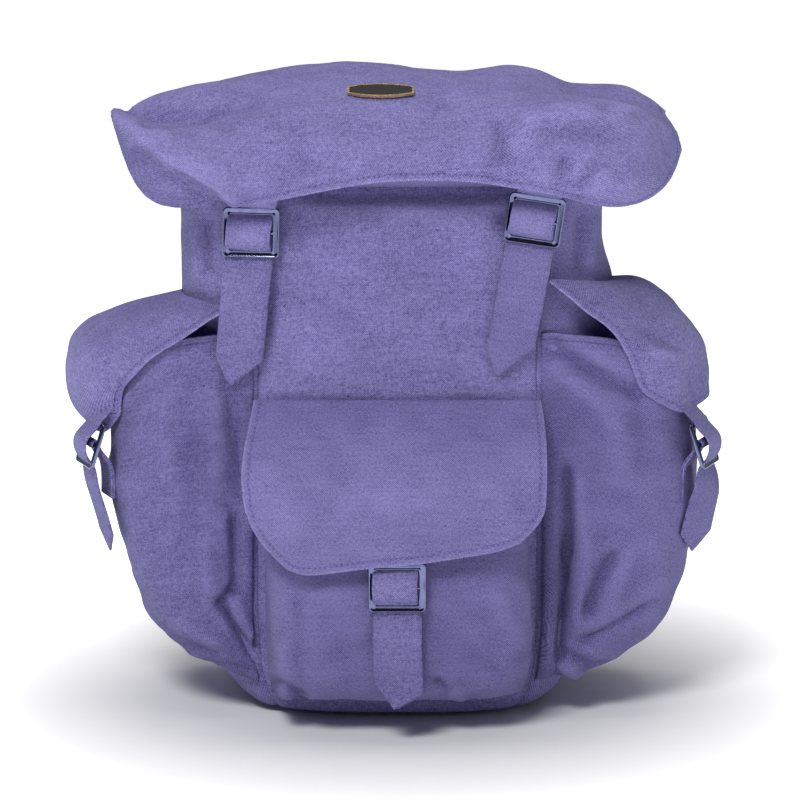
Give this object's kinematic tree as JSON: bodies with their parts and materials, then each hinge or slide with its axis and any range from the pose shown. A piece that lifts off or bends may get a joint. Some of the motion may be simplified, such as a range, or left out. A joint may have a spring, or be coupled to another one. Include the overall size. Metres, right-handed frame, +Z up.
{
  "type": "canvas daypack",
  "caption": "Soft canvas daypack with an overhanging lid, two side pockets, a front pocket, strap-and-buckle closures, a haul loop and shoulder straps.",
  "frame": {"origin": "middle of the flat underside of the base panel, on the ground", "axes": "+Z up, -Y out of the front of the pack, +Y towards the wearer's back, +X to the right as seen from the front"},
  "size_m": [0.4202, 0.2598, 0.4002],
  "materials": {
    "canvas": "matte cotton twill canvas",
    "strap_canvas": "matte folded and stitched cotton canvas",
    "webbing": "matte cotton webbing",
    "buckle_steel": "polished plated steel",
    "brass": "lightly worn brass",
    "badge_enamel": "glossy black enamel"
  },
  "bodies": {
    "root": {"front_panel": "canvas", "back_panel": "canvas", "left_side_panel": "canvas", "right_side_panel": "canvas", "base_panel": "canvas", "throat_collar": "canvas", "throat_eyelets": "brass", "left_lid_tab": "strap_canvas", "right_lid_tab": "strap_canvas", "front_pocket": "canvas", "front_pocket_tab": "strap_canvas", "left_pocket": "canvas", "left_pocket_tab": "strap_canvas", "right_pocket": "canvas", "right_pocket_tab": "strap_canvas", "yoke_patch": "canvas", "left_strap_root": "strap_canvas", "right_strap_root": "strap_canvas", "left_strap_anchor": "webbing", "right_strap_anchor": "webbing"},
    "lid": {"lid": "canvas", "badge_rim": "brass", "badge_face": "badge_enamel"},
    "left_lid_strap": {"left_lid_strap": "strap_canvas"},
    "right_lid_strap": {"right_lid_strap": "strap_canvas"},
    "left_lid_buckle": {"left_lid_buckle": "buckle_steel"},
    "right_lid_buckle": {"right_lid_buckle": "buckle_steel"},
    "front_flap": {"front_pocket_flap": "canvas"},
    "front_strap": {"front_pocket_strap": "strap_canvas"},
    "front_buckle": {"front_pocket_buckle": "buckle_steel"},
    "left_flap": {"left_pocket_flap": "canvas"},
    "left_strap": {"left_pocket_strap": "strap_canvas"},
    "left_buckle": {"left_pocket_buckle": "buckle_steel"},
    "right_flap": {"right_pocket_flap": "canvas"},
    "right_strap": {"right_pocket_strap": "strap_canvas"},
    "right_buckle": {"right_pocket_buckle": "buckle_steel"},
    "left_shoulder_strap": {"left_shoulder_pad": "strap_canvas", "left_pad_tab": "strap_canvas", "left_adjuster": "buckle_steel", "left_lower_webbing": "webbing"},
    "right_shoulder_strap": {"right_shoulder_pad": "strap_canvas", "right_pad_tab": "strap_canvas", "right_adjuster": "buckle_steel", "right_lower_webbing": "webbing"},
    "haul_loop": {"haul_loop": "strap_canvas"}
  },
  "joints": [
    {"name": "lid_open", "type": "hinge", "parent": "root", "child": "lid", "pos_m": [0, 0.079, 0.353], "axis": [-1, 0, 0], "range_deg": [0, 170]},
    {"name": "left_lid_strap_swing", "type": "hinge", "parent": "lid", "child": "left_lid_strap", "pos_m": [-0.08557, -0.0922, 0.3219], "axis": [-0.9945, 0, 0.1045], "range_deg": [0, 100]},
    {"name": "left_lid_buckle_swing", "type": "hinge", "parent": "root", "child": "left_lid_buckle", "pos_m": [-0.0875, -0.0785, 0.3035], "axis": [-0.9997, 0, 0.0262], "range_deg": [0, 18]},
    {"name": "right_lid_strap_swing", "type": "hinge", "parent": "lid", "child": "right_lid_strap", "pos_m": [0.08417, -0.0922, 0.32331], "axis": [-0.9848, 0, 0.1736], "range_deg": [0, 100]},
    {"name": "right_lid_buckle_swing", "type": "hinge", "parent": "root", "child": "right_lid_buckle", "pos_m": [0.082, -0.0785, 0.311], "axis": [-0.989, 0, 0.1478], "range_deg": [0, 18]},
    {"name": "front_flap_open", "type": "hinge", "parent": "root", "child": "front_flap", "pos_m": [0, -0.08, 0.203], "axis": [-1, 0, 0], "range_deg": [0, 88]},
    {"name": "front_strap_swing", "type": "hinge", "parent": "front_flap", "child": "front_strap", "pos_m": [0, -0.1329, 0.112], "axis": [-1, 0, 0], "range_deg": [0, 100]},
    {"name": "front_buckle_swing", "type": "hinge", "parent": "root", "child": "front_buckle", "pos_m": [0, -0.1295, 0.098], "axis": [-1, 0, 0], "range_deg": [0, 18]},
    {"name": "left_flap_open", "type": "hinge", "parent": "root", "child": "left_flap", "pos_m": [-0.13427, -0.02685, 0.255], "axis": [-0.1961, 0.9806, 0], "range_deg": [0, 88]},
    {"name": "left_strap_swing", "type": "hinge", "parent": "left_flap", "child": "left_strap", "pos_m": [-0.19148, -0.05411, 0.1874], "axis": [-0.3907, 0.9205, 0], "range_deg": [0, 55]},
    {"name": "left_buckle_swing", "type": "hinge", "parent": "root", "child": "left_buckle", "pos_m": [-0.18918, -0.05313, 0.171], "axis": [-0.3907, 0.9205, 0], "range_deg": [0, 15]},
    {"name": "right_flap_open", "type": "hinge", "parent": "root", "child": "right_flap", "pos_m": [0.13427, -0.02685, 0.255], "axis": [-0.1961, -0.9806, 0], "range_deg": [0, 88]},
    {"name": "right_strap_swing", "type": "hinge", "parent": "right_flap", "child": "right_strap", "pos_m": [0.19148, -0.05411, 0.1874], "axis": [-0.3907, -0.9205, 0], "range_deg": [0, 55]},
    {"name": "right_buckle_swing", "type": "hinge", "parent": "root", "child": "right_buckle", "pos_m": [0.18918, -0.05313, 0.171], "axis": [-0.3907, -0.9205, 0], "range_deg": [0, 15]},
    {"name": "left_shoulder_strap_swing", "type": "hinge", "parent": "root", "child": "left_shoulder_strap", "pos_m": [-0.05, 0.09, 0.302], "axis": [-0.2274, -0.0239, -0.9735], "range_deg": [-50, 50]},
    {"name": "right_shoulder_strap_swing", "type": "hinge", "parent": "root", "child": "right_shoulder_strap", "pos_m": [0.05, 0.09, 0.302], "axis": [-0.2274, 0.0239, 0.9735], "range_deg": [-50, 50]},
    {"name": "haul_loop_swing", "type": "hinge", "parent": "root", "child": "haul_loop", "pos_m": [0, 0.0774, 0.3235], "axis": [-1, 0, 0], "range_deg": [-100, 0]}
  ],
  "couplings": [
    {"joint": "left_lid_buckle_swing", "follows": "left_lid_strap_swing", "ratio": 0.18},
    {"joint": "right_lid_buckle_swing", "follows": "right_lid_strap_swing", "ratio": 0.18},
    {"joint": "front_buckle_swing", "follows": "front_strap_swing", "ratio": 0.18},
    {"joint": "left_buckle_swing", "follows": "left_strap_swing", "ratio": 0.25},
    {"joint": "right_buckle_swing", "follows": "right_strap_swing", "ratio": 0.25}
  ]
}
